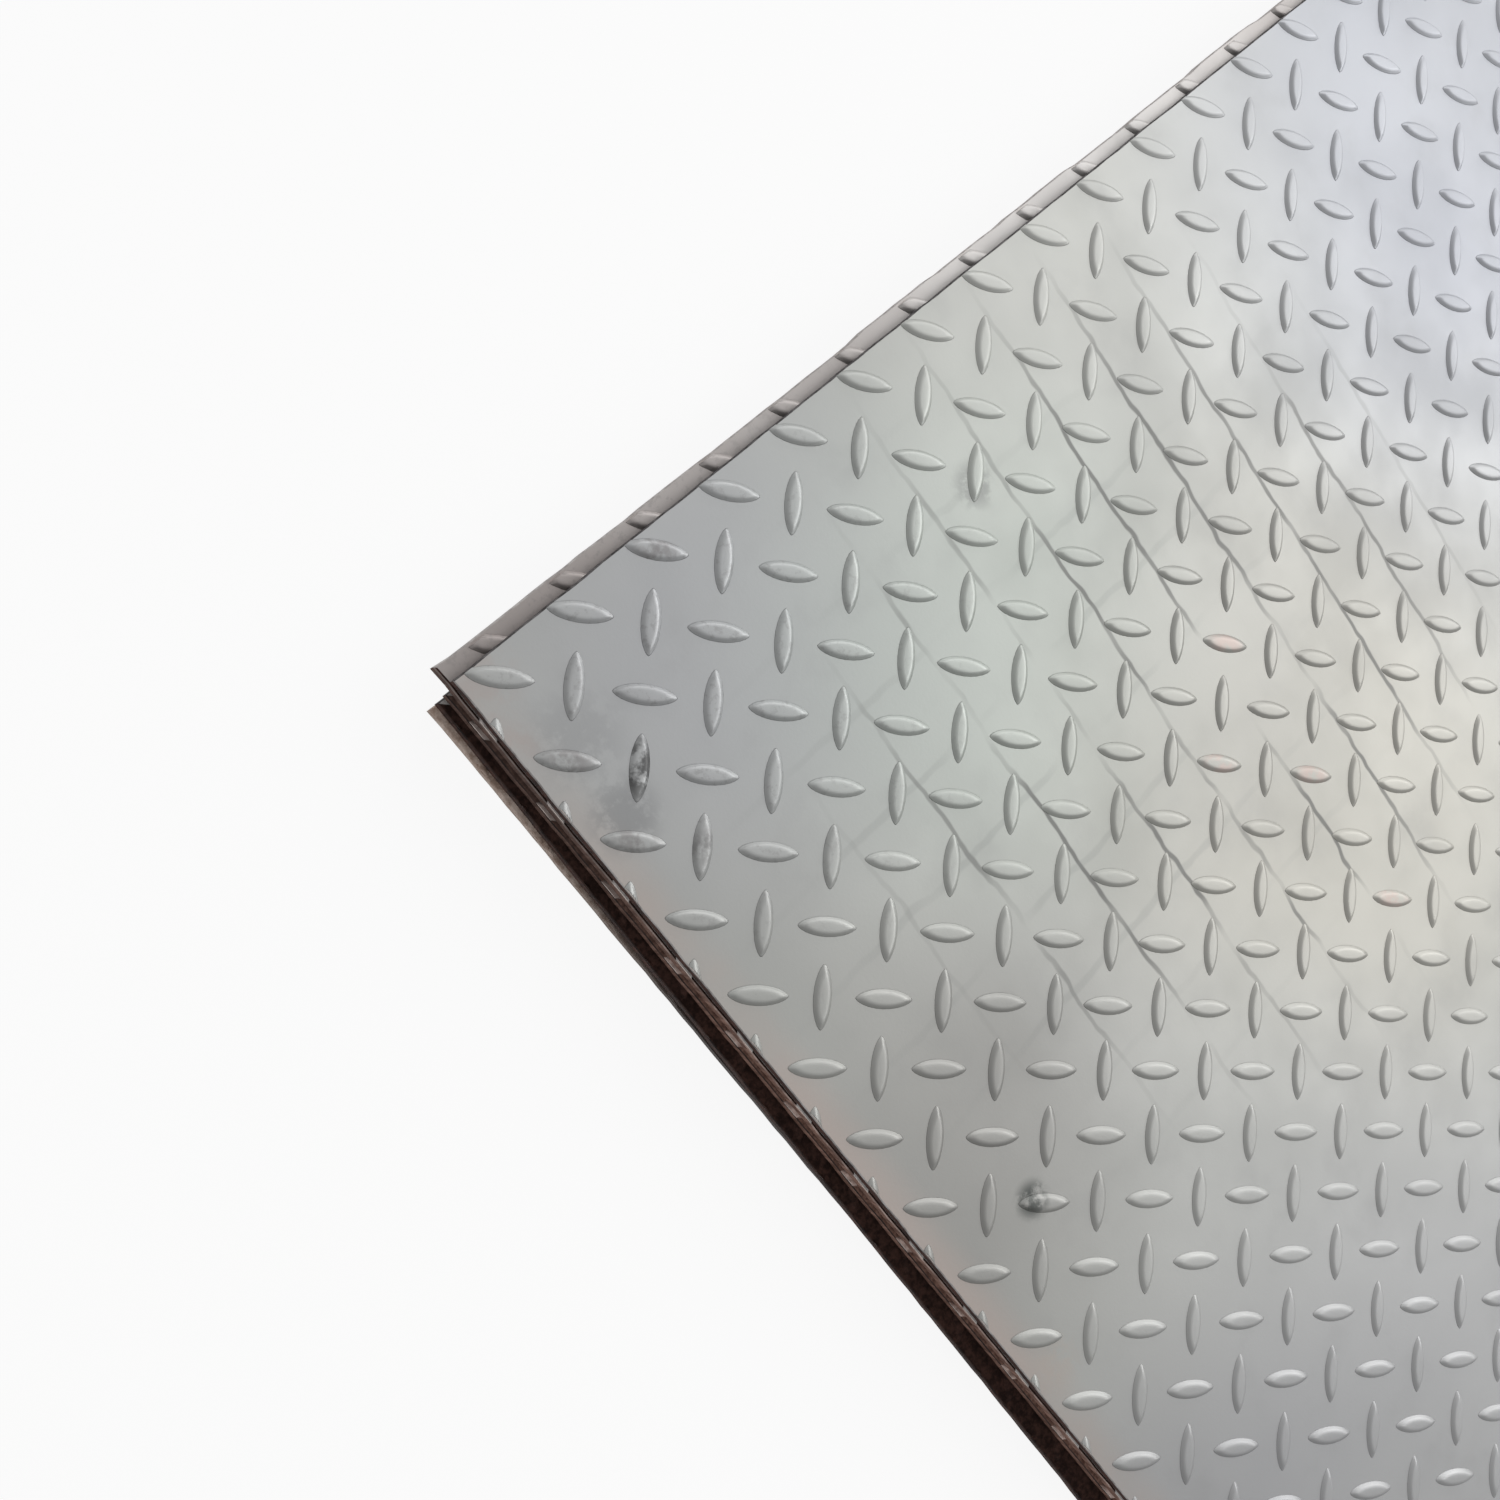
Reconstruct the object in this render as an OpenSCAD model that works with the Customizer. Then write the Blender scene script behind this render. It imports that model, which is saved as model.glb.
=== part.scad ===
// Stack of hot rolled checkered steel plates, in millimetres, +Z up.
// The origin is the middle of the bottom plate's underside.

/* [Plate] */
// Length of one plate along X
plate_length = 800; // [500:50:3000]
// Width of one plate along Y
plate_width = 800; // [500:50:1500]
// Thickness of the plate without its lugs
base_thickness = 6; // [3:0.5:10]

/* [Tread] */
// Distance between the middles of neighbouring lugs
lug_spacing = 28; // [24:1:40]
// Length of a lug, tip to tip
lug_length = 27; // [18:0.5:30]
// Width of a lug at its middle
lug_width = 8.6; // [4:0.2:10]
// Height of the lugs above the plate
lug_height = 1.4; // [0.6:0.1:2.5]
// Bare strip that the shear leaves along the edges
edge_margin = 0.5; // [0.2:0.1:1.5]
// Depth of the rim whose lugs are drawn on a covered plate
rim_depth = 30; // [20:5:60]

/* [How the stack lies] */
// Top plate's shift along X
top_shift_x = -4.5; // [-20:0.5:20]
// Top plate's shift along Y
top_shift_y = 8; // [-20:0.5:20]
// Second plate's shift along X
second_shift_x = -12.5; // [-30:0.5:20]
// Second plate's shift along Y
second_shift_y = 7; // [-20:0.5:20]
// Third plate's shift along X
third_shift_x = -1.5; // [-20:0.5:20]
// Third plate's shift along Y
third_shift_y = 5.5; // [-20:0.5:20]
// Fourth plate's shift along X
fourth_shift_x = 5; // [-20:0.5:20]
// Fourth plate's shift along Y
fourth_shift_y = -3; // [-20:0.5:20]
// Fourth plate's turn about Z, in degrees
fourth_turn = -0.8; // [-1:0.1:1]

/* [Where the shear cut the tread] */
// Top plate's first lug from its corner, in pitches along X
top_phase_x = 0.24; // [0:0.01:1]
// Top plate's first lug from its corner, in pitches along Y
top_phase_y = 0.36; // [0:0.01:1]
// Second plate's first lug along X
second_phase_x = 0.21; // [0:0.01:1]
// Second plate's first lug along Y
second_phase_y = 0.6; // [0:0.01:1]
// Third plate's first lug along X
third_phase_x = 0.55; // [0:0.01:1]
// Third plate's first lug along Y
third_phase_y = 0.15; // [0:0.01:1]
// Fourth plate's first lug along X
fourth_phase_x = 0.1; // [0:0.01:1]
// Fourth plate's first lug along Y
fourth_phase_y = 0.8; // [0:0.01:1]
// Bottom plate's first lug along X
bottom_phase_x = 0.42; // [0:0.01:1]
// Bottom plate's first lug along Y
bottom_phase_y = 0.36; // [0:0.01:1]

/* [Hidden] */
layer_pitch = base_thickness + lug_height;
// The lugs lie at 45 degrees, so the tread repeats along the edges at this pitch
tread_pitch = lug_spacing * sqrt(2);
columns = ceil(plate_length / tread_pitch);
rows = ceil(plate_width / tread_pitch);
lug_turn = 45;
lug_reach = lug_length / 2 * cos(lug_turn);
// Shortest lug tip that a shear leaves standing
least_tip = 3;
// How deep a lug is rooted in the plate
lug_root = 0.5;
// A lug's outline is two arcs that meet in points
arc_radius = (lug_length * lug_length + lug_width * lug_width) / (4 * lug_width);
arc_offset = arc_radius - lug_width / 2;
whole_tread = max(plate_length, plate_width);
steel = [0.62, 0.62, 0.64];
dark_steel = [0.45, 0.43, 0.43];
rusty_steel = [0.55, 0.47, 0.43];

module lug_outline() {
    intersection() {
        translate([0, arc_offset]) circle(r = arc_radius, $fn = 64);
        translate([0, -arc_offset]) circle(r = arc_radius, $fn = 64);
    }
}

// One lug; where it crosses the plate's edge the shear has cut it off
module lug(place, turn, room) {
    translate([0, 0, base_thickness - lug_root])
        linear_extrude(height = lug_root + lug_height)
            if (room > lug_reach + edge_margin) {
                translate(place) rotate(turn) lug_outline();
            } else {
                intersection() {
                    translate(place) rotate(turn) lug_outline();
                    square([plate_length - 2 * edge_margin, plate_width - 2 * edge_margin], center = true);
                }
            }
}

// Rising lugs on a square grid and falling lugs in the middles of its squares
module tread(phase_x, phase_y, depth) {
    for (family = [0, 1], column = [-1 : columns], row = [-1 : rows]) {
        x = (phase_x + column + family / 2) * tread_pitch - plate_length / 2;
        y = (phase_y + row + family / 2) * tread_pitch - plate_width / 2;
        room = min(plate_length / 2 - abs(x), plate_width / 2 - abs(y));
        if (room > least_tip - lug_reach && room < depth) {
            lug([x, y], family == 0 ? lug_turn : -lug_turn, room);
        }
    }
}

module plate(phase_x, phase_y, depth) {
    union() {
        translate([-plate_length / 2, -plate_width / 2, 0])
            cube([plate_length, plate_width, base_thickness]);
        tread(phase_x, phase_y, depth);
    }
}

module top_plate() {
    color(steel)
        translate([top_shift_x, top_shift_y, 4 * layer_pitch])
            plate(top_phase_x, top_phase_y, whole_tread);
}

module second_plate() {
    color(steel)
        translate([second_shift_x, second_shift_y, 3 * layer_pitch])
            plate(second_phase_x, second_phase_y, rim_depth);
}

module third_plate() {
    color(dark_steel)
        translate([third_shift_x, third_shift_y, 2 * layer_pitch])
            plate(third_phase_x, third_phase_y, rim_depth);
}

module fourth_plate() {
    color(dark_steel)
        translate([fourth_shift_x, fourth_shift_y, layer_pitch])
            rotate([0, 0, fourth_turn])
                plate(fourth_phase_x, fourth_phase_y, rim_depth);
}

module bottom_plate() {
    color(rusty_steel)
        plate(bottom_phase_x, bottom_phase_y, rim_depth);
}

top_plate();
second_plate();
third_plate();
fourth_plate();
bottom_plate();
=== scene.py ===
"""Stack of hot rolled checkered steel plates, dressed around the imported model."""

import math
import random

import bmesh
import bpy
from mathutils import Matrix, Vector


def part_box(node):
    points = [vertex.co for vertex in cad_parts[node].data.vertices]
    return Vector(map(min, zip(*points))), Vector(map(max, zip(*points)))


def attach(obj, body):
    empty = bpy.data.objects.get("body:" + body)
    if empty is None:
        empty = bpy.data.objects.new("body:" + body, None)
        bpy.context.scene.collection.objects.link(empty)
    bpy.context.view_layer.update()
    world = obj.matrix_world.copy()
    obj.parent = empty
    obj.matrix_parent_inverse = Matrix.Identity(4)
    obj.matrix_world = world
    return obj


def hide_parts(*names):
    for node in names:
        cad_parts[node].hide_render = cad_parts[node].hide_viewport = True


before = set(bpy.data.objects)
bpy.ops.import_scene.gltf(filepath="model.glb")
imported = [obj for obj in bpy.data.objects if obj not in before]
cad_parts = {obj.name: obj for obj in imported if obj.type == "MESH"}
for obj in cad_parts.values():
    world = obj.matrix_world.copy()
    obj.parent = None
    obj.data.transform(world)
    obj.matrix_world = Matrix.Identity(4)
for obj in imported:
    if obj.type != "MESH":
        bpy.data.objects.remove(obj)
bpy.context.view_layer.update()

MM = 0.001
PLATES = ["top_plate", "second_plate", "third_plate", "fourth_plate", "bottom_plate"]

# Tread: rising lugs sit on a square grid, falling lugs half a pitch further on in both directions
LUG_SPACING = 28 * MM
LUG_PITCH = LUG_SPACING * math.sqrt(2)
LUG_LENGTH = 27 * MM
LUG_WIDTH = 8.6 * MM
LUG_HEIGHT = 1.4 * MM
LUG_TURN = math.radians(45)
RISING = 1
FALLING = -1

# A lug's flank from its foot to its flat top: (how far in from the outline, height over lug height)
FLANK = [
    (0, -0.06),
    (0.4 * MM, 0.13),
    (0.9 * MM, 0.48),
    (1.5 * MM, 0.82),
    (2.1 * MM, 0.96),
    (2.9 * MM, 1),
]
# Rounds the lens' tips: 1 would be an ellipse
TIP_SHARPNESS = 1.3
LUG_SIDE_POINTS = 12
RIM_SIDE_POINTS = 8
RIM_DEPTH = 58 * MM

# Where the first rising lug of each plate lies from the corner in the photo, in pitches along X and Y
FIRST_LUG = {
    "top_plate": (0.24, 0.36),
    "second_plate": (0.21, 0.60),
    "third_plate": (0.55, 0.15),
    "fourth_plate": (0.10, 0.80),
    "bottom_plate": (0.42, 0.36),
}
TURN = {"fourth_plate": math.radians(-0.8)}

# Sheared edges
EDGE_STEP = 8 * MM
EDGE_WANDER = 0.35 * MM
ARRIS = 0.5 * MM
ARRIS_DROP = 0.3 * MM
# Width of the discoloured rim on each plate's top, and how far its ends wave in and out
RIM_BAND = {"top_plate": 1.2 * MM, "second_plate": 1.2 * MM}
LOWER_RIM_BAND = 24 * MM
END_WAVE = {"second_plate": 1.8 * MM}
STEPS_A_WAVE = 6

top_low, top_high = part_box("top_plate")
PLATE_LENGTH = top_high.x - top_low.x
PLATE_WIDTH = top_high.y - top_low.y
BASE_THICKNESS = top_high.z - top_low.z - LUG_HEIGHT
CORNER = Vector((top_low.x, top_low.y, top_high.z - LUG_HEIGHT))


def plate_matrix(name):
    """Places a plate that is drawn around the origin with its underside at z = 0."""
    low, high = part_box(name)
    place = Vector(((low.x + high.x) / 2, (low.y + high.y) / 2, low.z))
    return Matrix.Translation(place) @ Matrix.Rotation(TURN.get(name, 0), 4, "Z")


def new_piece(name, bm, materials):
    """Makes a mesh object of the bmesh, which rides on the stack's one body."""
    mesh = bpy.data.meshes.new(name)
    bm.to_mesh(mesh)
    bm.free()
    for material in materials:
        mesh.materials.append(material)
    piece = bpy.data.objects.new(name, mesh)
    bpy.context.scene.collection.objects.link(piece)
    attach(piece, "root")
    return piece


# Noise scales, in waves a metre, from broad to fine
CLOUDS = 6.0
SHEEN = 14.0
GAPS = 16.0
BLOOM = 22.0
SMUDGES = 26.0
SWAY = 42.0
RAGGED = 130.0
WEAR = 160.0
BLOTCHES = 220.0
SCORING = 300.0
SPECKS = 330.0
GRAIN = 700.0


class Shader:
    """A material whose nodes are added one at a time."""

    def __init__(self, name):
        self.material = bpy.data.materials.new(name)
        self.material.use_nodes = True
        self.tree = self.material.node_tree
        self.surface = self.tree.nodes["Principled BSDF"]

    def add(self, kind, **settings):
        node = self.tree.nodes.new(kind)
        for key, value in settings.items():
            setattr(node, key, value)
        return node

    def link(self, source, target):
        self.tree.links.new(source, target)

    def place(self):
        """Object coordinates, which are the row frame in metres."""
        return self.add("ShaderNodeTexCoord").outputs["Object"]

    def scaled(self, vector, scale):
        node = self.add("ShaderNodeMapping")
        node.inputs["Scale"].default_value = scale
        self.link(vector, node.inputs["Vector"])
        return node.outputs["Vector"]

    def noise(self, vector, scale, detail=3, roughness=0.55):
        node = self.add("ShaderNodeTexNoise")
        node.inputs["Scale"].default_value = scale
        node.inputs["Detail"].default_value = detail
        node.inputs["Roughness"].default_value = roughness
        self.link(vector, node.inputs["Vector"])
        return node.outputs["Fac"]

    def remap(self, value, low, high, out_low=0.0, out_high=1.0):
        node = self.add("ShaderNodeMapRange", interpolation_type="SMOOTHSTEP")
        node.inputs["From Min"].default_value = low
        node.inputs["From Max"].default_value = high
        node.inputs["To Min"].default_value = out_low
        node.inputs["To Max"].default_value = out_high
        self.link(value, node.inputs["Value"])
        return node.outputs["Result"]

    def math(self, operation, a, b=None):
        node = self.add("ShaderNodeMath", operation=operation)
        for socket, value in zip(node.inputs, (a, b)):
            if value is None:
                continue
            if isinstance(value, (int, float)):
                socket.default_value = value
            else:
                self.link(value, socket)
        return node.outputs[0]

    def product(self, first, *others):
        for other in others:
            first = self.math("MULTIPLY", first, other)
        return first

    def axes(self, vector):
        """The vector's X and Y."""
        node = self.add("ShaderNodeSeparateXYZ")
        self.link(vector, node.inputs[0])
        return node.outputs["X"], node.outputs["Y"]

    def mix(self, factor, a, b):
        node = self.add("ShaderNodeMix", data_type="RGBA")
        if isinstance(factor, (int, float)):
            node.inputs["Factor"].default_value = factor
        else:
            self.link(factor, node.inputs["Factor"])
        for socket, value in ((node.inputs[6], a), (node.inputs[7], b)):
            if isinstance(value, tuple):
                socket.default_value = (*value, 1)
            else:
                self.link(value, socket)
        return node.outputs[2]

    def bump(self, height, distance, strength=1.0):
        node = self.add("ShaderNodeBump")
        node.inputs["Strength"].default_value = strength
        node.inputs["Distance"].default_value = distance
        self.link(height, node.inputs["Height"])
        self.link(node.outputs["Normal"], self.surface.inputs["Normal"])


def grid_point(row, column):
    """Middle of a rising lug of the top plate, counted from the corner in the photo."""
    first_x, first_y = FIRST_LUG["top_plate"]
    x = CORNER.x + (first_x + column) * LUG_PITCH
    y = CORNER.y + (first_y + row) * LUG_PITCH
    return Vector((x, y, CORNER.z))


def near(shader, place, centre, inner, outer):
    """1 within the inner radius of a point, falling to 0 at the outer one."""
    gap = shader.add("ShaderNodeVectorMath", operation="DISTANCE")
    shader.link(place, gap.inputs[0])
    gap.inputs[1].default_value = centre
    return shader.remap(gap.outputs["Value"], inner, outer, 1, 0)


# Share of a stripe's width that has its full strength
STRIPE_CORE = 0.35


def stripes(shader, coordinate, first, width):
    """1 on lines one lug pitch apart, 0 between them."""
    steps = shader.math("DIVIDE", shader.math("SUBTRACT", coordinate, first), LUG_PITCH)
    offset = shader.math("SUBTRACT", shader.math("FRACT", shader.math("ADD", steps, 0.5)), 0.5)
    gap = shader.product(shader.math("ABSOLUTE", offset), LUG_PITCH)
    return shader.remap(gap, width * STRIPE_CORE, width, 1, 0)


# Rub marks beside the lugs' tips: how far they sway, where they start, their widths, strengths and colours
RUB_SWAY = 7.0 * MM
RUB_OFFSET = 3.5 * MM
LINE_WIDTH = 1.6 * MM
LINE_STRENGTH = 0.8
LINE_COLOUR = (0.15, 0.15, 0.145)
CROSS_WIDTH = 2.4 * MM
CROSS_STRENGTH = 0.22
CROSS_COLOUR = (0.27, 0.28, 0.27)


def rub_marks(shader, place, colour):
    """Thin dark lines along X past the lugs' tips, and fainter ones across them."""
    sway = shader.product(shader.noise(place, SWAY, 2), RUB_SWAY)
    breaks = shader.remap(shader.noise(place, GAPS, 2), 0.32, 0.55)
    x, y = shader.axes(place)
    tip_row = grid_point(-0.25, -0.25)
    lines = stripes(shader, shader.math("SUBTRACT", y, sway), tip_row.y - RUB_OFFSET, LINE_WIDTH)
    patch = near(shader, place, grid_point(6.4, 5.0), 2.8 * LUG_PITCH, 5.4 * LUG_PITCH)
    lines = shader.product(lines, patch, breaks, LINE_STRENGTH)
    colour = shader.mix(lines, colour, LINE_COLOUR)
    crossing = stripes(shader, shader.math("ADD", x, sway), tip_row.x - RUB_OFFSET, CROSS_WIDTH)
    patch = near(shader, place, grid_point(4.5, 4.8), 2.0 * LUG_PITCH, 5.0 * LUG_PITCH)
    crossing = shader.product(crossing, patch, breaks, CROSS_STRENGTH)
    return shader.mix(crossing, colour, CROSS_COLOUR)


# Stains on the top plate and on its lugs: row and column in lug pitches, radius, strength and colour
PLATE_STAINS = [
    # The first spot is a soft darkening beside the corner
    (0.1, 1.75, 20 * MM, 0.4, (0.2, 0.2, 0.21)),
    (0.2, 0.9, 26 * MM, 0.25, (0.25, 0.25, 0.26)),
    (0.92, 7.86, 11 * MM, 0.85, (0.07, 0.08, 0.075)),
    (5.4, 1.6, 14 * MM, 0.5, (0.2, 0.2, 0.2)),
    (0.0, 9.4, 16 * MM, 0.3, (0.55, 0.46, 0.4)),
    (-0.25, -0.1, 24 * MM, 0.3, (0.5, 0.41, 0.38)),
    (-0.3, 0.6, 12 * MM, 0.35, (0.5, 0.42, 0.39)),
]
LUG_STAINS = [
    (0.5, 1.5, 16 * MM, 0.9, (0.1, 0.1, 0.1)),
    (0.0, 1.0, 13 * MM, 0.5, (0.2, 0.18, 0.18)),
    (0.0, 2.0, 13 * MM, 0.5, (0.2, 0.18, 0.18)),
    (0.5, 2.5, 9 * MM, 0.5, (0.15, 0.14, 0.14)),
    (2.0, 0.0, 13 * MM, 0.5, (0.2, 0.18, 0.18)),
    (0.92, 7.86, 10 * MM, 0.8, (0.07, 0.08, 0.075)),
    (7.0, 5.0, 13 * MM, 0.4, (0.6, 0.42, 0.38)),
    (6.0, 6.0, 13 * MM, 0.4, (0.6, 0.42, 0.38)),
    (7.0, 7.0, 13 * MM, 0.4, (0.6, 0.42, 0.38)),
    (7.0, 9.0, 13 * MM, 0.4, (0.6, 0.42, 0.38)),
]


def stains(shader, place, colour, spots):
    """Dirt, faint rust and soft darkening in single spots, broken up by noise."""
    ragged = shader.remap(shader.noise(place, RAGGED, 4, 0.65), 0.36, 0.56)
    for row, column, radius, strength, tone in spots:
        spot = near(shader, place, grid_point(row, column), radius * 0.3, radius)
        colour = shader.mix(shader.product(spot, ragged, strength), colour, tone)
    return colour


# Soft tints of the top plate and its lugs, mostly painted light over some tone of the mill scale: lighter
# patches are painted light, darker ones painted shade (one dims a lamp's reflection), lavender, green and
# warm ones painted sky reflections. Row, column, inner and outer radius in lug pitches, strength and
# colour
LIGHT_AND_SCALE_TINTS = [
    (2, 1, 0.5, 4, 0.6, (0.475, 0.485, 0.515)),
    (4.5, 3, 1, 4, 0.55, (0.505, 0.55, 0.505)),
    (7.5, 7.5, 1.5, 5.5, 0.5, (0.555, 0.53, 0.465)),
    (1, 7, 0.5, 3.2, 0.55, (0.37, 0.36, 0.345)),
    (0.5, 12, 0.5, 3, 0.5, (0.38, 0.38, 0.4)),
    (3, 10, 1, 4, 0.5, (0.56, 0.565, 0.545)),
    (12.2, 5.4, 1, 4.5, 0.5, (0.37, 0.375, 0.38)),
    (6.8, 5, 0.8, 3.2, 0.4, (0.38, 0.38, 0.365)),
    (15, 2, 1.5, 7, 0.55, (0.45, 0.47, 0.55)),
    (3, 15, 1.5, 7, 0.55, (0.53, 0.532, 0.555)),
]
STRIP_TINTS = [(0, 0, 0.5, 5, 0.8, (0.4, 0.355, 0.34))]
# Faint rust along the edge over the dark sides: its width, where it gains strength and its colour
EDGE_RUST = 20 * MM
EDGE_RUST_FROM = 30 * MM
EDGE_RUST_TO = 150 * MM
EDGE_RUST_COLOUR = (0.52, 0.455, 0.42)
SMUDGE_COLOUR = (0.33, 0.33, 0.33)
SPECK_COLOUR = (0.22, 0.21, 0.21)
TREAD_METALLIC = 0.7


def edge_rust(shader, place, colour):
    """Rust bloom along the top plate's edge."""
    x, y = shader.axes(place)
    at_edge = shader.remap(y, CORNER.y, CORNER.y + EDGE_RUST, 0.9, 0)
    broken = shader.remap(shader.noise(place, BLOOM, 3), 0.3, 0.6, 0.4, 1)
    past_corner = shader.remap(x, CORNER.x + EDGE_RUST_FROM, CORNER.x + EDGE_RUST_TO, 0.35, 1)
    return shader.mix(shader.product(at_edge, broken, past_corner), colour, EDGE_RUST_COLOUR)


def worn_specks(shader, place, colour):
    """Fine dark specks near the corner in the photo."""
    specks = shader.remap(shader.noise(place, SPECKS, 3, 0.7), 0.52, 0.66)
    worn = near(shader, place, grid_point(1.5, 1.2), 0.5 * LUG_PITCH, 5 * LUG_PITCH)
    return shader.mix(shader.product(worn, specks, 0.3), colour, SPECK_COLOUR)


def tread_steel(name, low, high, tints, is_sheet):
    """Grey mill finish of the treaded faces: cloudy, smudged and stained, with rub marks on the sheet, and
    with tint patches, which on the top plate and its lugs are painted light, shade and sky reflections.
    """
    shader = Shader(name)
    place = shader.place()
    clouds = shader.remap(shader.noise(place, CLOUDS, 3), 0.35, 0.65)
    colour = shader.mix(clouds, low, high)
    # Tint patches: on the top plate and its lugs they are painted light, painted shade and painted sky
    # reflections
    for row, column, inner, outer, strength, tint in tints:
        patch = near(shader, place, grid_point(row, column), inner * LUG_PITCH, outer * LUG_PITCH)
        colour = shader.mix(shader.product(patch, strength), colour, tint)
    smudge = shader.remap(shader.noise(place, SMUDGES, 4, 0.6), 0.5, 0.78, 0, 0.2)
    colour = shader.mix(smudge, colour, SMUDGE_COLOUR)
    if is_sheet:
        colour = edge_rust(shader, place, colour)
        colour = rub_marks(shader, place, colour)
        colour = stains(shader, place, colour, PLATE_STAINS)
    else:
        colour = worn_specks(shader, place, colour)
        colour = stains(shader, place, colour, LUG_STAINS)
    shader.link(colour, shader.surface.inputs["Base Color"])
    rough = shader.remap(shader.noise(place, SHEEN, 4), 0.3, 0.7, 0.36, 0.5)
    shader.link(rough, shader.surface.inputs["Roughness"])
    shader.surface.inputs["Metallic"].default_value = TREAD_METALLIC
    shader.bump(shader.noise(place, GRAIN, 3, 0.6), 0.05 * MM, 0.5)
    return shader.material


# Where a colour of the front side fades out, towards the back and towards the corner; the two colours are
# painted light and shade by side
FRONT_FROM = 15 * MM
FRONT_TO = 60 * MM
PAST_CORNER_FROM = 50 * MM
PAST_CORNER_TO = 190 * MM
AT_CORNER = 0.3


def light_and_shade_by_side(shader, place, colour, elsewhere, at_corner):
    """Keeps a colour along the front side and fades it to another one further back and near the corner:
    painted light and shade, which differ by side.
    """
    x, y = shader.axes(place)
    front = shader.remap(y, CORNER.y + FRONT_FROM, CORNER.y + FRONT_TO, 1, 0)
    past_corner = shader.remap(x, CORNER.x + PAST_CORNER_FROM, CORNER.x + PAST_CORNER_TO, at_corner, 1)
    return shader.mix(shader.product(front, past_corner), elsewhere, colour)


def sheared_edge(name, dark, light, elsewhere=None, at_corner=AT_CORNER):
    """Shear cut with upright scoring; given a second colour, its front side and the rest differ as painted
    light and shade.
    """
    shader = Shader(name)
    place = shader.place()
    scoring = shader.noise(shader.scaled(place, (1, 1, 0.15)), SCORING, 4, 0.7)
    colour = shader.mix(shader.remap(scoring, 0.35, 0.7), dark, light)
    if elsewhere:
        colour = light_and_shade_by_side(shader, place, colour, elsewhere, at_corner)
    shader.link(colour, shader.surface.inputs["Base Color"])
    shader.surface.inputs["Roughness"].default_value = 0.75
    shader.surface.inputs["Specular IOR Level"].default_value = 0.15
    shader.bump(scoring, 0.25 * MM, 0.8)
    return shader.material


def rust_with_painted_light(name, dark, light, elsewhere):
    """Tan rust near the corner, made light as painted light against the shade of the plates above; near
    black further from the corner.
    """
    shader = Shader(name)
    place = shader.place()
    blotches = shader.noise(place, BLOTCHES, 4, 0.7)
    rust = shader.mix(shader.remap(blotches, 0.35, 0.65), dark, light)
    at_corner = near(shader, place, CORNER, 1.2 * LUG_PITCH, 4.5 * LUG_PITCH)
    colour = shader.mix(at_corner, elsewhere, rust)
    shader.link(colour, shader.surface.inputs["Base Color"])
    shader.surface.inputs["Roughness"].default_value = 0.7
    shader.bump(blotches, 0.2 * MM, 0.6)
    return shader.material


def arris(name, dark, light, elsewhere=None):
    """Burr that the shear leaves along the rim, bright where it is worn; given a second colour, the bright
    burr is kept to the front side as a painted highlight.
    """
    shader = Shader(name)
    place = shader.place()
    worn = shader.remap(shader.noise(place, WEAR, 3), 0.35, 0.65)
    colour = shader.mix(worn, dark, light)
    if elsewhere:
        colour = light_and_shade_by_side(shader, place, colour, elsewhere, AT_CORNER)
    shader.link(colour, shader.surface.inputs["Base Color"])
    shader.surface.inputs["Metallic"].default_value = 0.4
    shader.surface.inputs["Roughness"].default_value = 0.45
    return shader.material


def lug_cut(name, colour):
    """Metal where the shear went through a lug."""
    shader = Shader(name)
    shader.surface.inputs["Base Color"].default_value = (*colour, 1)
    shader.surface.inputs["Metallic"].default_value = 0.2
    shader.surface.inputs["Roughness"].default_value = 0.4
    return shader.material


# The top plate's sheet and lugs carry painted light, painted shade and painted sky reflections in their
# tints
STEEL = tread_steel("tread_steel", (0.46, 0.465, 0.445), (0.53, 0.535, 0.51), LIGHT_AND_SCALE_TINTS, True)
LUG_STEEL = tread_steel("lug_steel", (0.455, 0.46, 0.44), (0.54, 0.545, 0.52), LIGHT_AND_SCALE_TINTS, False)
# Tan rust near the corner, lightened as painted light; near black further from the corner
TAN_RUST_PAINTED_LIGHT = rust_with_painted_light("tan_rust_painted_light", (0.4, 0.28, 0.22), (0.78, 0.64, 0.56), (0.03, 0.016, 0.012))
# Dark oxide of the shear, darkened further as painted shade
SCALE_AND_PAINTED_SHADE_EDGE = sheared_edge("scale_and_painted_shade_edge", (0.02, 0.008, 0.006), (0.085, 0.036, 0.026))
# Rust brown along the front side; the darker colour further back is painted shade
BROWN_EDGE_PAINTED_SHADE_BEHIND = sheared_edge("brown_edge_painted_shade_behind", (0.15, 0.08, 0.06), (0.4, 0.24, 0.19), (0.06, 0.04, 0.034))
GREY_END = sheared_edge("grey_end", (0.06, 0.055, 0.055), (0.2, 0.19, 0.19))
# Pale ends of the second plate, painted light so that their shaded faces show no dark line
PAINTED_LIGHT_END = sheared_edge("painted_light_end", (0.4, 0.37, 0.36), (0.62, 0.59, 0.57))
STRIP_STEEL = tread_steel("strip_steel", (0.5, 0.47, 0.455), (0.64, 0.62, 0.605), STRIP_TINTS, False)
# Near black rim: painted shade under the plate above
PAINTED_SHADE_RIM = sheared_edge("painted_shade_rim", (0.018, 0.008, 0.006), (0.07, 0.034, 0.026))
# Near black on the front side as painted shade over the fourth plate's rim lugs, grey steel further back
PAINTED_SHADE_LUG = sheared_edge("painted_shade_lug", (0.018, 0.008, 0.006), (0.07, 0.034, 0.026), (0.4, 0.4, 0.385), 1)
PALE_ARRIS = arris("pale_arris", (0.3, 0.28, 0.27), (0.6, 0.58, 0.57))
# Pink burr, lightened along the front side as a painted highlight, dark grey elsewhere
PINK_ARRIS_PAINTED_HIGHLIGHT = arris("pink_arris_painted_highlight", (0.3, 0.2, 0.17), (0.75, 0.58, 0.52), (0.2, 0.18, 0.17))
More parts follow.
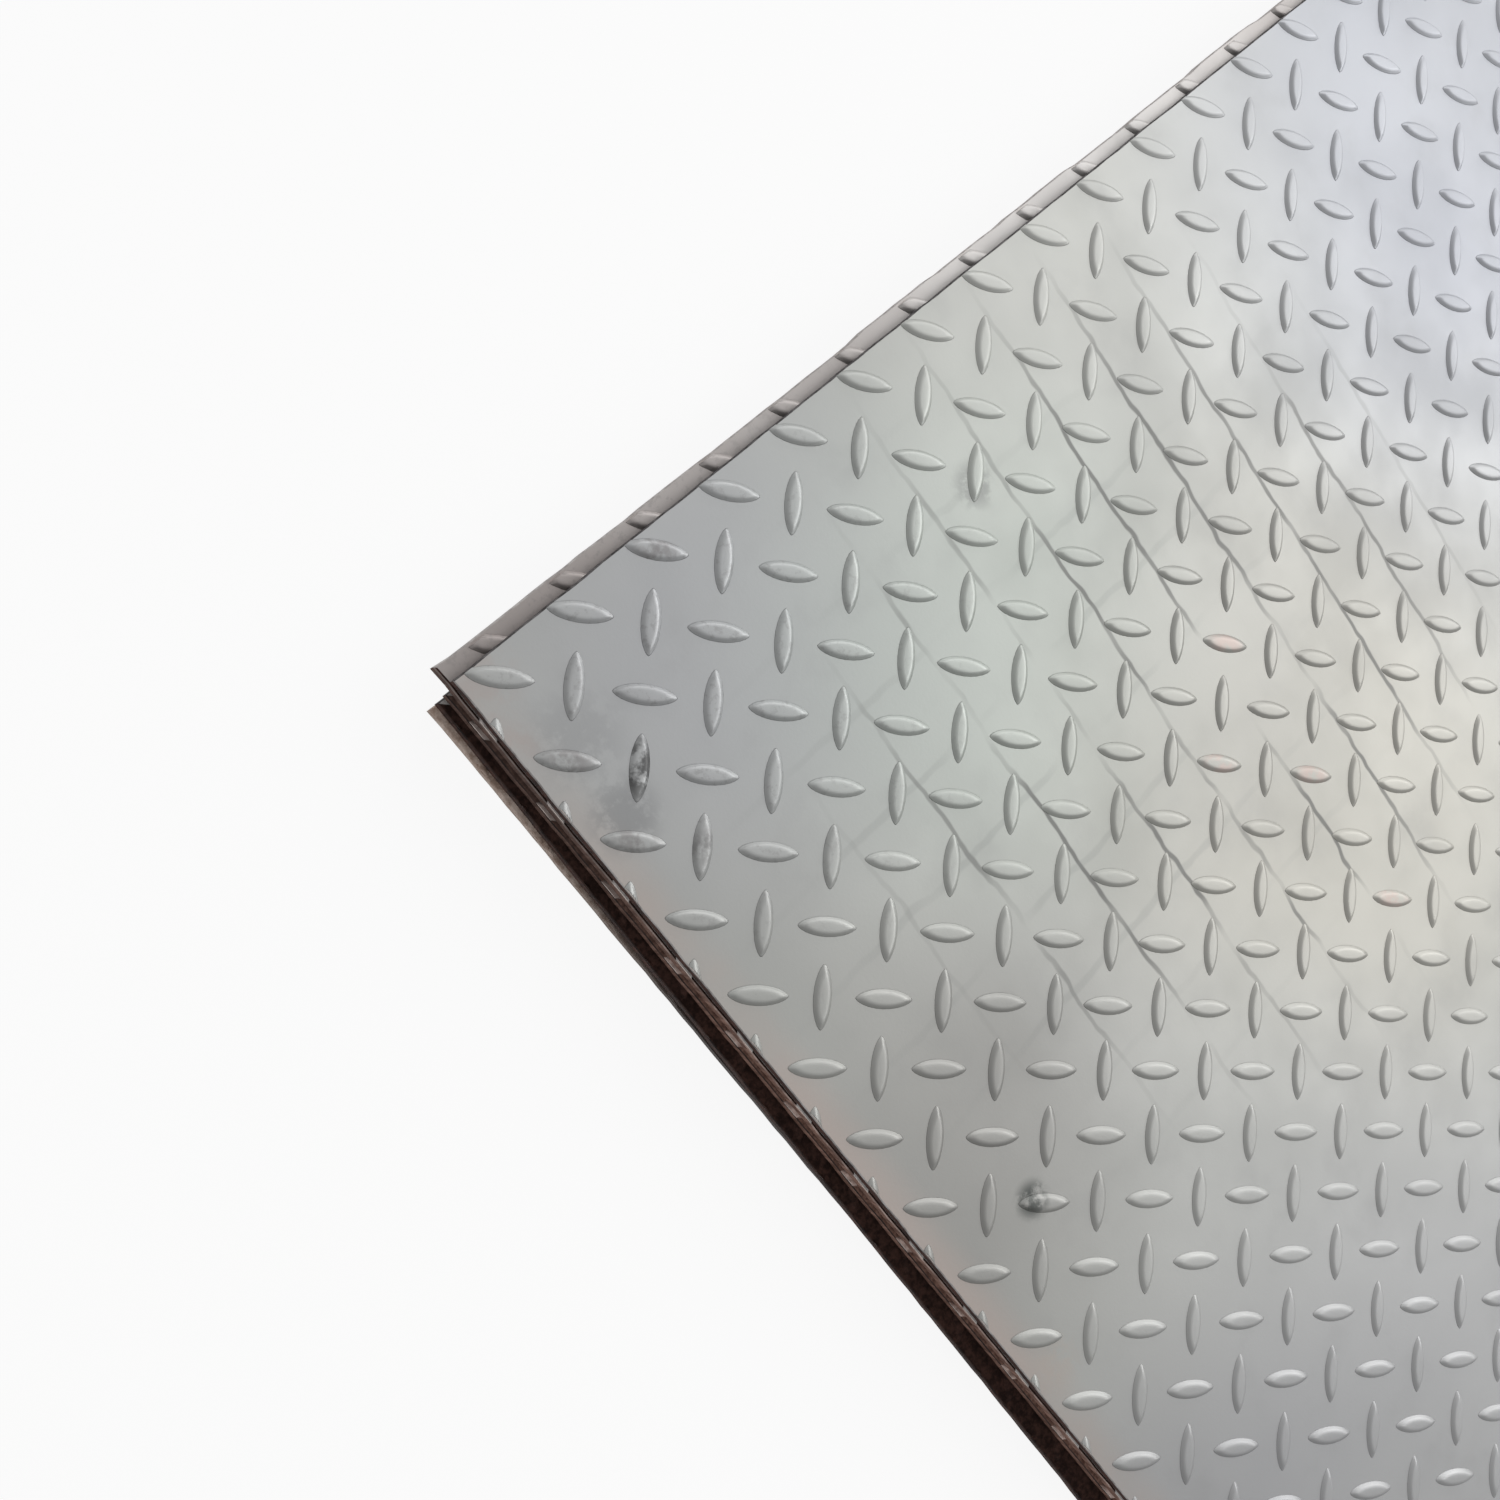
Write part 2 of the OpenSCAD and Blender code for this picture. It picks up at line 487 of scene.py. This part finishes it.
# Near black arris of the lower plates: painted shade
PAINTED_SHADE_ARRIS = arris("painted_shade_arris", (0.012, 0.006, 0.005), (0.07, 0.038, 0.03))
CUT = lug_cut("lug_cut", (0.85, 0.74, 0.68))
# Dark cut faces of the fourth plate's lugs: painted shade
PAINTED_SHADE_CUT = lug_cut("painted_shade_cut", (0.07, 0.04, 0.034))

# Materials of each plate's faces, the rim of its top, its arris, its long edges and its cut ends
SURFACES = ["face", "rim", "arris", "edge", "end"]
FINISH = {
    "top_plate": [STEEL, STEEL, PALE_ARRIS, SCALE_AND_PAINTED_SHADE_EDGE, GREY_END],
    "second_plate": [STRIP_STEEL, PAINTED_SHADE_RIM, PINK_ARRIS_PAINTED_HIGHLIGHT, BROWN_EDGE_PAINTED_SHADE_BEHIND, PAINTED_LIGHT_END],
    "third_plate": [STEEL, BROWN_EDGE_PAINTED_SHADE_BEHIND, PAINTED_SHADE_ARRIS, BROWN_EDGE_PAINTED_SHADE_BEHIND, GREY_END],
    "fourth_plate": [STEEL, PAINTED_SHADE_RIM, PAINTED_SHADE_ARRIS, SCALE_AND_PAINTED_SHADE_EDGE, GREY_END],
    "bottom_plate": [TAN_RUST_PAINTED_LIGHT] * len(SURFACES),
}
# Materials of each plate's lugs: whole, and where they are cut
LUG_FINISH = {
    "top_plate": [LUG_STEEL, CUT],
    "second_plate": [STRIP_STEEL, CUT],
    "third_plate": [PINK_ARRIS_PAINTED_HIGHLIGHT, CUT],
    "fourth_plate": [PAINTED_SHADE_LUG, PAINTED_SHADE_CUT],
    "bottom_plate": [TAN_RUST_PAINTED_LIGHT, TAN_RUST_PAINTED_LIGHT],
}


def rim_points(name, rng):
    """(point, is on a cut end) round a plate's outline, a little uneven as a shear leaves it."""
    half = Vector((PLATE_LENGTH / 2, PLATE_WIDTH / 2))
    corners = [(-1, -1), (1, -1), (1, 1), (-1, 1)]
    points = []
    for k, (sx, sy) in enumerate(corners):
        start = Vector((sx * half.x, sy * half.y))
        ex, ey = corners[(k + 1) % 4]
        end = Vector((ex * half.x, ey * half.y))
        along = (end - start).normalized()
        inward = Vector((-along.y, along.x))
        cut_end = sx == ex
        wave = END_WAVE.get(name, 0) if cut_end else 0
        steps = round((end - start).length / EDGE_STEP)
        swing = 0
        for s in range(steps):
            if s % STEPS_A_WAVE == 0:
                swing = rng.uniform(0, wave)
            wander = 0 if s == 0 else swing + rng.uniform(0, EDGE_WANDER)
            points.append((start + (end - start) * s / steps + inward * wander, cut_end))
    return points


def sheet(name, seed):
    """One plate without its lugs: flat faces, a discoloured rim, a narrow arris and sheared sides."""
    outline = rim_points(name, random.Random(seed))
    half = Vector((PLATE_LENGTH / 2, PLATE_WIDTH / 2))
    band = RIM_BAND.get(name, LOWER_RIM_BAND)
    # Height, how far in from the outline, and the material of the ring below, from the top face down
    levels = [
        (BASE_THICKNESS, band, "rim"),
        (BASE_THICKNESS, ARRIS, "arris"),
        (BASE_THICKNESS - ARRIS_DROP, 0, "edge"),
        (ARRIS_DROP, 0, "edge"),
        (0, ARRIS, None),
    ]
    bm = bmesh.new()
    rings = []
    for z, inset, _ in levels:
        sx, sy = 1 - inset / half.x, 1 - inset / half.y
        rings.append([bm.verts.new((p.x * sx, p.y * sy, z)) for p, _ in outline])
    count = len(outline)
    for upper, lower, (_, _, kind) in zip(rings, rings[1:], levels):
        for k in range(count):
            on_end = outline[k][1]
            face = bm.faces.new((upper[k], lower[k], lower[(k + 1) % count], upper[(k + 1) % count]))
            end_kind = "face" if kind == "rim" else "end"
            face.material_index = SURFACES.index(end_kind if on_end else kind)
    bm.faces.new(rings[0])
    bm.faces.new(list(reversed(rings[-1])))
    bm.transform(plate_matrix(name))
    piece = new_piece(name + "_sheet", bm, FINISH[name])
    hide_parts(name)


def lens(length, width, side_points):
    """Points round a slim lens with rounded tips, its long axis along x."""
    points = []
    for k in range(2 * side_points):
        a = math.pi * k / side_points
        swell = math.copysign(abs(math.sin(a)) ** TIP_SHARPNESS, math.sin(a))
        points.append((length / 2 * math.cos(a), width / 2 * swell))
    return points


def lug_rings(side_points):
    """The lug's outline at each step of its flank, as lists of points, foot first."""
    rings = []
    for inset, height in FLANK:
        outline = lens(LUG_LENGTH - 4 * inset, LUG_WIDTH - 2 * inset, side_points)
        rings.append([Vector((x, y, height * LUG_HEIGHT)) for x, y in outline])
    return rings


def add_lug(bm, rings, place, turn):
    """One closed lug shell."""
    matrix = Matrix.Translation(place) @ Matrix.Rotation(turn, 4, "Z")
    made = [[bm.verts.new(matrix @ p) for p in ring] for ring in rings]
    count = len(made[0])
    for lower, upper in zip(made, made[1:]):
        for k in range(count):
            face = bm.faces.new((lower[k], lower[(k + 1) % count], upper[(k + 1) % count], upper[k]))
            face.smooth = True
    bm.faces.new(made[-1]).smooth = True
    bm.faces.new(list(reversed(made[0])))


def lug_places(name):
    """(family, place) of every lug that reaches onto the plate, around the plate's own middle."""
    first_x, first_y = FIRST_LUG[name]
    reach = LUG_LENGTH / 2 * math.cos(LUG_TURN)
    places = []
    for family, half_step in ((RISING, 0), (FALLING, 0.5)):
        for row in range(-1, int(PLATE_WIDTH / LUG_PITCH) + 2):
            for column in range(-1, int(PLATE_LENGTH / LUG_PITCH) + 2):
                x = (first_x + column + half_step) * LUG_PITCH - PLATE_LENGTH / 2
                y = (first_y + row + half_step) * LUG_PITCH - PLATE_WIDTH / 2
                if abs(x) < PLATE_LENGTH / 2 + reach - MM and abs(y) < PLATE_WIDTH / 2 + reach - MM:
                    places.append((family, Vector((x, y, BASE_THICKNESS))))
    return places


def edge_distance(place):
    return min(PLATE_LENGTH / 2 - abs(place.x), PLATE_WIDTH / 2 - abs(place.y))


def trim_to_plate(bm, wave):
    """Cuts off what stands past the plate's edges and closes the cuts with bare metal."""
    sides = [
        (Vector((PLATE_LENGTH / 2 - ARRIS - wave, 0, 0)), Vector((1, 0, 0))),
        (Vector((ARRIS + wave - PLATE_LENGTH / 2, 0, 0)), Vector((-1, 0, 0))),
        (Vector((0, PLATE_WIDTH / 2 - ARRIS, 0)), Vector((0, 1, 0))),
        (Vector((0, ARRIS - PLATE_WIDTH / 2, 0)), Vector((0, -1, 0))),
    ]
    for point, normal in sides:
        geometry = bm.verts[:] + bm.edges[:] + bm.faces[:]
        bmesh.ops.bisect_plane(bm, geom=geometry, plane_co=point, plane_no=normal, clear_outer=True)
        open_edges = [e for e in bm.edges if e.is_boundary]
        filled = bmesh.ops.holes_fill(bm, edges=open_edges, sides=0)["faces"]
        for face in filled:
            face.material_index = 1
            face.smooth = False


def lugs(piece_name, plate, places, side_points):
    """A joined mesh of lugs on one plate; those at the edges are trimmed."""
    rings = lug_rings(side_points)
    inner = bmesh.new()
    border = bmesh.new()
    for family, place in places:
        target = inner if edge_distance(place) > LUG_LENGTH / 2 else border
        add_lug(target, rings, place, family * LUG_TURN)
    trim_to_plate(border, END_WAVE.get(plate, 0))
    trimmed = bpy.data.meshes.new("trimmed")
    border.to_mesh(trimmed)
    border.free()
    inner.from_mesh(trimmed)
    bpy.data.meshes.remove(trimmed)
    inner.transform(plate_matrix(plate))
    return new_piece(piece_name, inner, LUG_FINISH[plate])


def tread():
    """The whole tread of the top plate, by family and half, and the rims of the plates below."""
    places = lug_places("top_plate")
    for family, family_name in ((RISING, "rising"), (FALLING, "falling")):
        for half, half_name in ((-1, "near"), (1, "far")):
            chosen = [p for p in places if p[0] == family and (p[1].x >= 0) == (half > 0)]
            lugs(f"top_lugs_{family_name}_{half_name}", "top_plate", chosen, LUG_SIDE_POINTS)
    for plate in PLATES[1:]:
        rim = [p for p in lug_places(plate) if edge_distance(p[1]) < RIM_DEPTH]
        lugs(plate.replace("plate", "rim_lugs"), plate, rim, RIM_SIDE_POINTS)


for seed, plate_name in enumerate(PLATES, 1):
    sheet(plate_name, seed)
tread()


# Pale floor just under the stack, which glows by itself so that it shows near white
FLOOR_SIZE = 16
FLOOR_DROP = 0.2 * MM
FLOOR_GLOW = 0.9


def floor():
    bpy.ops.mesh.primitive_plane_add(size=FLOOR_SIZE, location=(0, 0, -FLOOR_DROP))
    plane = bpy.context.object
    plane.name = "floor"
    shader = Shader("white_floor")
    shader.surface.inputs["Base Color"].default_value = (0.9, 0.9, 0.9, 1)
    shader.surface.inputs["Roughness"].default_value = 0.9
    ray = shader.add("ShaderNodeLightPath")
    seen = shader.math("MAXIMUM", ray.outputs["Is Camera Ray"], ray.outputs["Is Glossy Ray"])
    glow = shader.add("ShaderNodeEmission")
    blend = shader.add("ShaderNodeMixShader")
    shader.link(shader.product(seen, FLOOR_GLOW), blend.inputs[0])
    shader.link(shader.surface.outputs[0], blend.inputs[1])
    shader.link(glow.outputs[0], blend.inputs[2])
    shader.link(blend.outputs[0], shader.tree.nodes["Material Output"].inputs["Surface"])
    plane.data.materials.append(shader.material)


def area_light(name, place, aim, size, power):
    data = bpy.data.lights.new(name, "AREA")
    data.shape = "RECTANGLE"
    data.size, data.size_y = size
    data.energy = power
    lamp = bpy.data.objects.new(name, data)
    bpy.context.scene.collection.objects.link(lamp)
    lamp.location = place
    lamp.rotation_mode = "QUATERNION"
    lamp.rotation_quaternion = (aim - place).to_track_quat("-Z", "Y")


# The studio is brighter on the side that the photo's light comes from
BRIGHT_SIDE = Vector((-0.25, 0.85, 0.45)).normalized()
DIM_LEVEL = 0.28
DIM_UNTIL = -0.6
BRIGHT_LEVEL = 0.68
BRIGHT_FROM = 0.9


def light():
    world = bpy.data.worlds.new("studio")
    bpy.context.scene.world = world
    world.use_nodes = True
    tree = world.node_tree
    background = tree.nodes["Background"]
    direction = tree.nodes.new("ShaderNodeTexCoord")
    facing = tree.nodes.new("ShaderNodeVectorMath")
    facing.operation = "DOT_PRODUCT"
    facing.inputs[1].default_value = BRIGHT_SIDE
    level = tree.nodes.new("ShaderNodeMapRange")
    level.inputs["From Min"].default_value = DIM_UNTIL
    level.inputs["From Max"].default_value = BRIGHT_FROM
    level.inputs["To Min"].default_value = DIM_LEVEL
    level.inputs["To Max"].default_value = BRIGHT_LEVEL
    tree.links.new(direction.outputs["Generated"], facing.inputs[0])
    tree.links.new(facing.outputs["Value"], level.inputs["Value"])
    tree.links.new(level.outputs["Result"], background.inputs["Strength"])
    background.inputs["Color"].default_value = (1, 1, 1, 1)
    aim = CORNER + Vector((0.3, 0.3, 0))
    area_light("window", CORNER + Vector((0.0, 2.3, 1.15)), aim, (3.2, 2.0), 20)
    area_light("sheen", CORNER + Vector((1.75, 2.1, 2.05)), aim, (2.4, 2.4), 17.5)


# The photo is taken from over the corner, with the camera on its side
LENS = 32.4
SENSOR = 36
LOOK_FROM_CORNER = Vector((92.7 * MM, 73.7 * MM, 0))
VIEW_AZIMUTH = math.radians(33.8)
VIEW_ELEVATION = math.radians(66.6)
VIEW_ROLL = math.radians(83.9)
VIEW_DISTANCE = 0.53


def camera():
    data = bpy.data.cameras.new("photo_view")
    data.lens = LENS
    data.sensor_width = SENSOR
    data.clip_start = 0.01
    data.clip_end = 100
    camera_object = bpy.data.objects.new("photo_view", data)
    bpy.context.scene.collection.objects.link(camera_object)
    level = math.cos(VIEW_ELEVATION)
    east = math.sin(VIEW_AZIMUTH) * level
    north = math.cos(VIEW_AZIMUTH) * level
    ahead = Vector((east, north, -math.sin(VIEW_ELEVATION)))
    flat_right = ahead.cross(Vector((0, 0, 1))).normalized()
    flat_up = flat_right.cross(ahead)
    right = flat_right * math.cos(VIEW_ROLL) + flat_up * math.sin(VIEW_ROLL)
    up = flat_up * math.cos(VIEW_ROLL) - flat_right * math.sin(VIEW_ROLL)
    camera_object.rotation_mode = "QUATERNION"
    camera_object.rotation_quaternion = Matrix((right, up, -ahead)).transposed().to_quaternion()
    camera_object.location = CORNER + LOOK_FROM_CORNER - ahead * VIEW_DISTANCE
    bpy.context.scene.camera = camera_object


floor()
light()
camera()
bpy.context.scene.view_settings.view_transform = "Standard"
